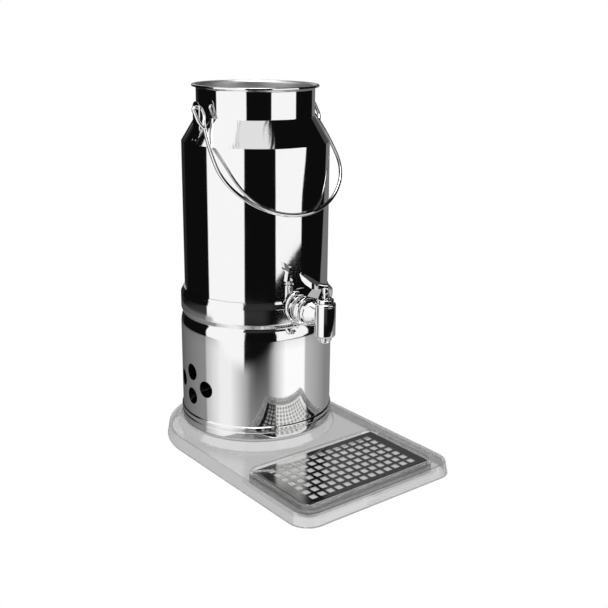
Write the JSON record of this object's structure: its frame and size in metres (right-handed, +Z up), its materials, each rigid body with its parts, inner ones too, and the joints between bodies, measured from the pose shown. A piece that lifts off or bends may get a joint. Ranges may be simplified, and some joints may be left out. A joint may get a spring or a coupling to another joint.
{
  "type": "countertop can beverage dispenser",
  "caption": "Open steel milk-can dispenser with bail handle and lever tap, lifted out of a polished vented stand on a clear base tray with a drip grid.",
  "frame": {"origin": "on the table, in the middle of the base tray's footprint; the axis of the can and stand is 63.6 mm behind it", "axes": "+Z up; the tap and the drip grid are towards -Y, so +X is to the user's right when facing the tap"},
  "size_m": [0.2248, 0.352, 0.4296],
  "materials": {
    "clear_plastic": "clear moulded plastic",
    "polished_steel": "mirror-polished stainless steel",
    "satin_steel": "satin stainless steel",
    "chrome_plate": "chrome-plated",
    "silicone": "translucent food-grade silicone"
  },
  "bodies": {
    "base": {"base_tray": "clear_plastic"},
    "grid": {"drip_grid": "satin_steel"},
    "stand": {"stand_shell": "polished_steel", "stand_collar": "polished_steel", "can_rest_ring": "satin_steel"},
    "can": {"can": "polished_steel", "right_ear": "polished_steel", "left_ear": "polished_steel", "tap_saddle_plate": "chrome_plate", "tap_outer_seal": "silicone", "tap_inner_seal": "silicone", "tap_lock_nut": "chrome_plate", "tap_ring_nut": "chrome_plate", "tap_body": "chrome_plate", "tap_nozzle": "chrome_plate", "tap_bonnet": "chrome_plate", "stem_o_ring": "silicone"},
    "bail": {"bail_handle": "polished_steel"},
    "swivel": {"swivel_ring": "chrome_plate"},
    "stem": {"tap_stem": "chrome_plate", "valve_seal": "silicone", "return_spring": "satin_steel"},
    "lever": {"tap_lever": "chrome_plate", "lever_pin": "satin_steel"}
  },
  "joints": [
    {"name": "grid_lift", "type": "slide", "parent": "base", "child": "grid", "axis": [0, 0, 1], "range_m": [0, 0.02]},
    {"name": "stand_lift", "type": "slide", "parent": "base", "child": "stand", "axis": [0, 0, 1], "range_m": [0, 0.02]},
    {"name": "can_lift", "type": "slide", "parent": "stand", "child": "can", "axis": [0, 0, 1], "range_m": [0, 0.06]},
    {"name": "bail_swing", "type": "hinge", "parent": "can", "child": "bail", "pos_m": [0, 0.0636, 0.4065], "axis": [-1, 0, 0], "range_deg": [0, 280]},
    {"name": "lever_swivel", "type": "hinge", "parent": "can", "child": "swivel", "pos_m": [0, -0.0689, 0.2018], "axis": [0, 0, 1], "continuous": true},
    {"name": "stem_lift", "type": "slide", "parent": "swivel", "child": "stem", "axis": [0, 0, 1], "range_m": [0, 0.0032], "deforming": ["return_spring"]},
    {"name": "lever_press", "type": "hinge", "parent": "stem", "child": "lever", "pos_m": [0, -0.0689, 0.214], "axis": [-0.7193, -0.6947, 0], "range_deg": [0, 20]}
  ],
  "couplings": [
    {"joint": "stem_lift", "follows": "lever_press", "m_per_rad": 0.009}
  ]
}
